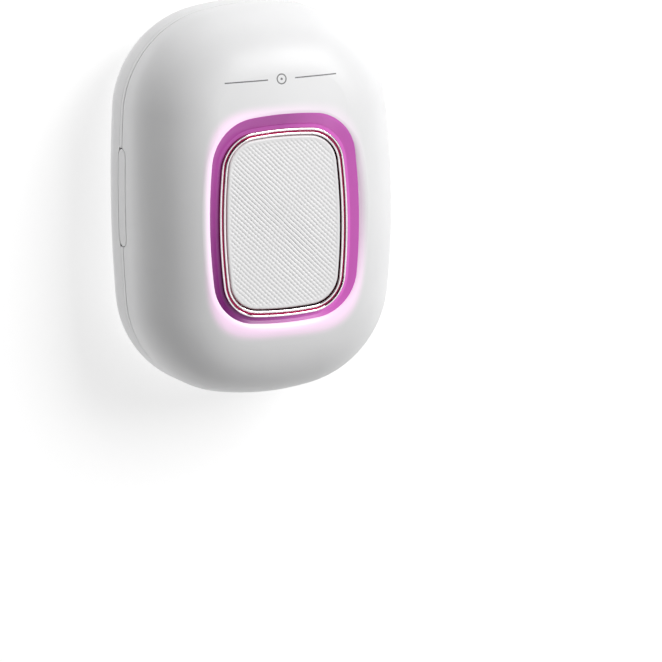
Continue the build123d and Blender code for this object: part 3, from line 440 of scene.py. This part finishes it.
GRAIN_RISE = 1 / 24  # share of the way in from the edge over which the grain reaches its depth
GRAIN_PITCH = 0.00098
GRAIN_DEPTH = 0.00024
GRAIN_TURN = math.radians(-45)
WANDER = 0.03  # how far each of two waves moves a ridge, as a share of the pitch
WANDER_LONG = 900  # radians per metre along the ridge; then, for the second wave, across and along it
WANDER_SHORT = 1400
WANDER_SKEW = 500
CROSS_TURN = math.radians(42)
CROSS_PITCH = GRAIN_PITCH * 1.15
STAGGER = 0.37  # scatter of each row's cross ridges about a half-pitch step, as a share of their pitch
STAGGER_TURN = 12.9898
RIDGE_FLAT = 0.75  # share of its height at which a ridge is cut flat
RIDGE_SHARE = 0.75  # what the ridges add to the grain's height
CROSS_FLAT = 0.7
CROSS_SHARE = 0.6


def grain(x, z):
    """Height of the cross-grain: long ridges one way, shorter and lower ones across."""
    along = x * math.cos(GRAIN_TURN) + z * math.sin(GRAIN_TURN)
    long_way = -x * math.sin(GRAIN_TURN) + z * math.cos(GRAIN_TURN)
    wander = WANDER * math.sin(along * WANDER_LONG)
    wander += WANDER * math.sin(long_way * WANDER_SHORT + along * WANDER_SKEW)
    place = long_way / GRAIN_PITCH + wander
    ridge = abs(math.sin(math.pi * place))
    row = math.floor(place)
    over = -x * math.sin(CROSS_TURN) + z * math.cos(CROSS_TURN)
    stagger = STAGGER * math.sin(row * STAGGER_TURN) + row / 2
    cross = abs(math.sin(math.pi * (over / CROSS_PITCH + stagger)))
    return min(ridge, RIDGE_FLAT) * RIDGE_SHARE + min(cross, CROSS_FLAT) * CROSS_SHARE - 1.0


def plate_skin():
    """The embossed face, its rounded edge and its side, closed at the back."""
    rings = []
    edge = soft_rectangle(*WINDOW, PLATE_INSET + PLATE_EDGE, PLATE_POINTS)
    face = -plate_low.y
    for k in range(PLATE_RINGS + 1):
        share = (k + 0.5) / (PLATE_RINGS + 0.5)
        fade = min(1.0, (1 - share) / GRAIN_RISE)
        ring = []
        for edge_x, edge_z in edge:
            x, z = edge_x * share, edge_z * share
            depth = face - PLATE_SINK + fade * GRAIN_DEPTH * grain(x, z)
            ring.append((x, -depth, z + WINDOW_Z))
        rings.append(ring)
    for k in range(1, EDGE_STEPS + 1):
        turn = math.pi / 2 * k / EDGE_STEPS
        out = PLATE_EDGE * (1 - math.sin(turn))
        drop = PLATE_EDGE * (1 - math.cos(turn)) + PLATE_SINK
        points = soft_rectangle(*WINDOW, PLATE_INSET + out, PLATE_POINTS)
        rings.append([(x, -(face - drop), z + WINDOW_Z) for x, z in points])
    for depth in (-plate_high.y + PLATE_LIP, -plate_high.y):
        points = soft_rectangle(*WINDOW, PLATE_INSET, PLATE_POINTS)
        rings.append([(x, -depth, z + WINDOW_Z) for x, z in points])
    return ring_mesh("plate_skin", rings, plate)


skin = plate_skin()
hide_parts("front_plate")
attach(skin, "plate")

# ---- button springs: coils between the button and their seats ---------------------------------
SPRING_WIRE = 0.00017
SPRING_TURNS = 3.4
TURN_STEPS = 28
WIRE_SIDES = 8


def coil(name, low, high, middle_z):
    """One coil along X, filling the box's length and depth."""
    middle_y = (low.y + high.y) / 2
    radius = (high.y - low.y) / 2 - SPRING_WIRE
    start, end = low.x + SPRING_WIRE, high.x - SPRING_WIRE
    steps = int(SPRING_TURNS * TURN_STEPS)
    rings = []
    for k in range(steps + 1):
        turn = 2 * math.pi * SPRING_TURNS * k / steps
        x = start + (end - start) * k / steps
        ring = []
        for i in range(WIRE_SIDES):
            around = 2 * math.pi * i / WIRE_SIDES
            reach = radius + SPRING_WIRE * math.cos(around)
            ring.append((
                x + SPRING_WIRE * math.sin(around),
                middle_y + reach * math.cos(turn),
                middle_z + reach * math.sin(turn),
            ))
        rings.append(ring)
    return ring_mesh(name, rings, steel)


spring_low, spring_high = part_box("button_springs")
coil_radius = (spring_high.y - spring_low.y) / 2
coils = coil("button_coils", spring_low, spring_high, spring_low.z + coil_radius)
upper = coil("upper_coil", spring_low, spring_high, spring_high.z - coil_radius)
bpy.ops.object.select_all(action="DESELECT")
upper.select_set(True)
coils.select_set(True)
bpy.context.view_layer.objects.active = coils
bpy.ops.object.join()
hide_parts("button_springs")
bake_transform(coils)

# ---- stage --------------------------------------------------------------------------------------
PALE = (0.40, 0.40, 0.40)
STAGE_SIZE = 6.0
WALL_PLACE = (0, 0.0004, 0)
FLOOR_PLACE = (0, -2.9, -0.17)
WALL_LIFT = 0.72  # the sheet's own light, which lightens the shadows on it
FLOOR_LIFT = 0.3


def stage_plane(name, size, place, turn, lift):
    """A plain sheet that is seen only from its front, so it never hides the object."""
    bpy.ops.mesh.primitive_plane_add(size=size, location=place, rotation=turn)
    sheet = bpy.context.object
    sheet.name = name
    pale = Shader(name, PALE, 0.9)
    pale.mottle(PALE, 0.003, 8.0)
    pale.set("Emission Color", (1.0, 1.0, 1.0, 1.0))
    pale.set("Emission Strength", lift)
    facing = pale.node("ShaderNodeNewGeometry")
    clear = pale.node("ShaderNodeBsdfTransparent")
    mix = pale.node("ShaderNodeMixShader")
    out = pale.tree.nodes["Material Output"]
    pale.link(facing.outputs["Backfacing"], mix.inputs[0])
    pale.link(pale.bsdf.outputs[0], mix.inputs[1])
    pale.link(clear.outputs[0], mix.inputs[2])
    pale.link(mix.outputs[0], out.inputs["Surface"])
    sheet.data.materials.append(pale.material)
    sheet.visible_shadow = False
    return sheet


stage_plane("wall", STAGE_SIZE, WALL_PLACE, (math.radians(90), 0, 0), WALL_LIFT)
floor = stage_plane("floor", STAGE_SIZE, FLOOR_PLACE, (0, 0, 0), FLOOR_LIFT)
floor.visible_diffuse = False


# ---- light ----------------------------------------------------------------------------------------
CASE_MIDDLE = (0, -0.02, 0)
BACK_MIDDLE = (0, 0, 0)  # on the wall side
WORLD_LIGHT = 0.05


def softbox(name, place, aim, size, power):
    """A rectangular lamp turned to the place it lights."""
    data = bpy.data.lights.new(name, "AREA")
    data.shape = "RECTANGLE"
    data.size, data.size_y = size
    data.energy = power
    lamp = bpy.data.objects.new(name, data)
    lamp.location = place
    lamp.rotation_euler = (Vector(aim) - Vector(place)).to_track_quat("-Z", "Y").to_euler()
    bpy.context.collection.objects.link(lamp)


softbox("key", (0.55, -0.95, 0.58), CASE_MIDDLE, (0.7, 0.8), 16.0)
softbox("side_fill", (-0.95, -0.10, 0.05), CASE_MIDDLE, (0.2, 0.8), 0.5)
softbox("top", (0.35, -0.30, 0.9), CASE_MIDDLE, (0.5, 0.4), 0.3)
softbox("below", (0.1, -0.5, -0.9), CASE_MIDDLE, (0.5, 0.5), 1.2)
softbox("back", (-0.4, 0.9, 0.4), BACK_MIDDLE, (0.8, 0.8), 1.2)

world = bpy.data.worlds.new("studio")
bpy.context.scene.world = world
world.use_nodes = True
world.node_tree.nodes["Background"].inputs[0].default_value = (1, 1, 1, 1)
world.node_tree.nodes["Background"].inputs[1].default_value = WORLD_LIGHT

bpy.context.scene.view_settings.view_transform = "Standard"

# ---- camera ----------------------------------------------------------------------------------------
camera_data = bpy.data.cameras.new("camera")
camera_data.lens = CAMERA_LENS
camera_data.sensor_width = SENSOR_WIDTH
camera = bpy.data.objects.new("camera", camera_data)
bpy.context.collection.objects.link(camera)
back = Vector((
    math.sin(CAMERA_AZIMUTH) * math.cos(CAMERA_ELEVATION),
    -math.cos(CAMERA_AZIMUTH) * math.cos(CAMERA_ELEVATION),
    math.sin(CAMERA_ELEVATION),
))
right = (-back).cross(Vector((0, 0, 1))).normalized()
up = right.cross(-back)
turned_right = right * math.cos(CAMERA_ROLL) + up * math.sin(CAMERA_ROLL)
turned_up = up * math.cos(CAMERA_ROLL) - right * math.sin(CAMERA_ROLL)
ahead = (-back + turned_right * CAMERA_AIM[0] + turned_up * CAMERA_AIM[1]).normalized()
side = ahead.cross(turned_up).normalized()
axes = Matrix((side, side.cross(ahead), -ahead)).transposed()
eye = Vector(CAMERA_LOOKS_AT) + back * CAMERA_DISTANCE
camera.matrix_world = Matrix.Translation(eye) @ axes.to_4x4()
bpy.context.scene.camera = camera

bpy.context.view_layer.update()
